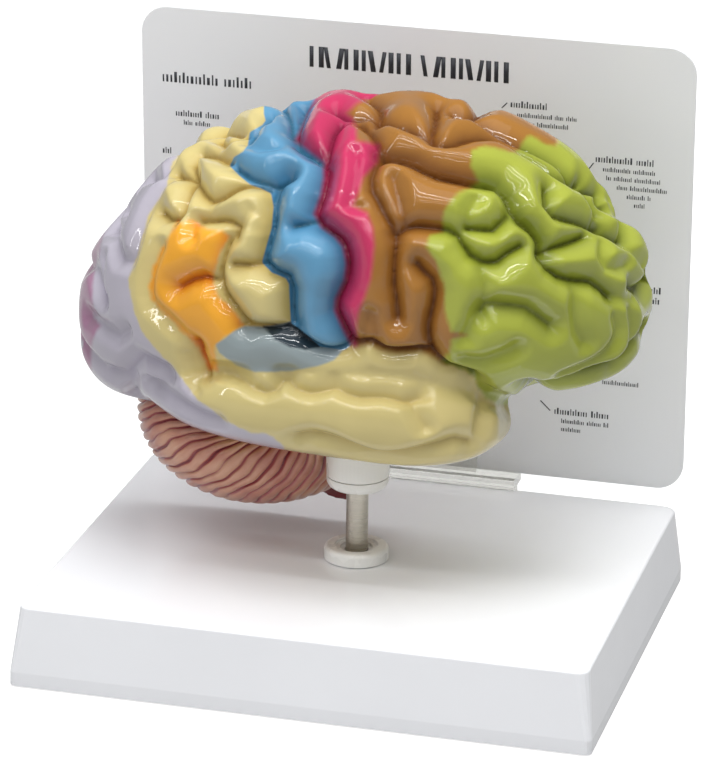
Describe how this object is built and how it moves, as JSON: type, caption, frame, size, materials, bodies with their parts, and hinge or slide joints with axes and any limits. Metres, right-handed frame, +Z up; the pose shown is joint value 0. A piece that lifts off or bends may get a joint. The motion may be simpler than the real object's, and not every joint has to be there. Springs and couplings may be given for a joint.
{
  "type": "brain anatomy model",
  "caption": "Painted half of a brain that swivels on a post over a white moulded base, with a rounded card standing behind it in a clear clip.",
  "frame": {"origin": "middle of the whole footprint, level with the base's bottom rim", "axes": "+X from the back of the brain to its front, +Y from its painted side to the card, +Z up"},
  "size_m": [0.1692, 0.1392, 0.1628],
  "materials": {
    "white_plastic": "satin moulded white",
    "satin_steel": "satin",
    "zinc_steel": "bright zinc",
    "painted_cast": "hand painted in glossy colours, cerebellum satin",
    "printed_card": "pale grey with fine dark print",
    "clear_plastic": "clear",
    "foam_tape": "off-white foam"
  },
  "bodies": {
    "stand": {"base": "white_plastic", "post_foot": "white_plastic", "post": "satin_steel", "post_screw": "zinc_steel", "post_washer": "zinc_steel", "pivot_disc": "white_plastic", "card_clip": "clear_plastic", "clip_tape": "foam_tape", "label_card": "printed_card"},
    "brain": {"brain": "painted_cast", "brain_socket": "white_plastic"}
  },
  "joints": [
    {"name": "brain_swivel", "type": "hinge", "parent": "stand", "child": "brain", "pos_m": [0.00215, -0.00455, 0.0482], "axis": [0, 0, 1], "range_deg": [-30, 33]}
  ]
}
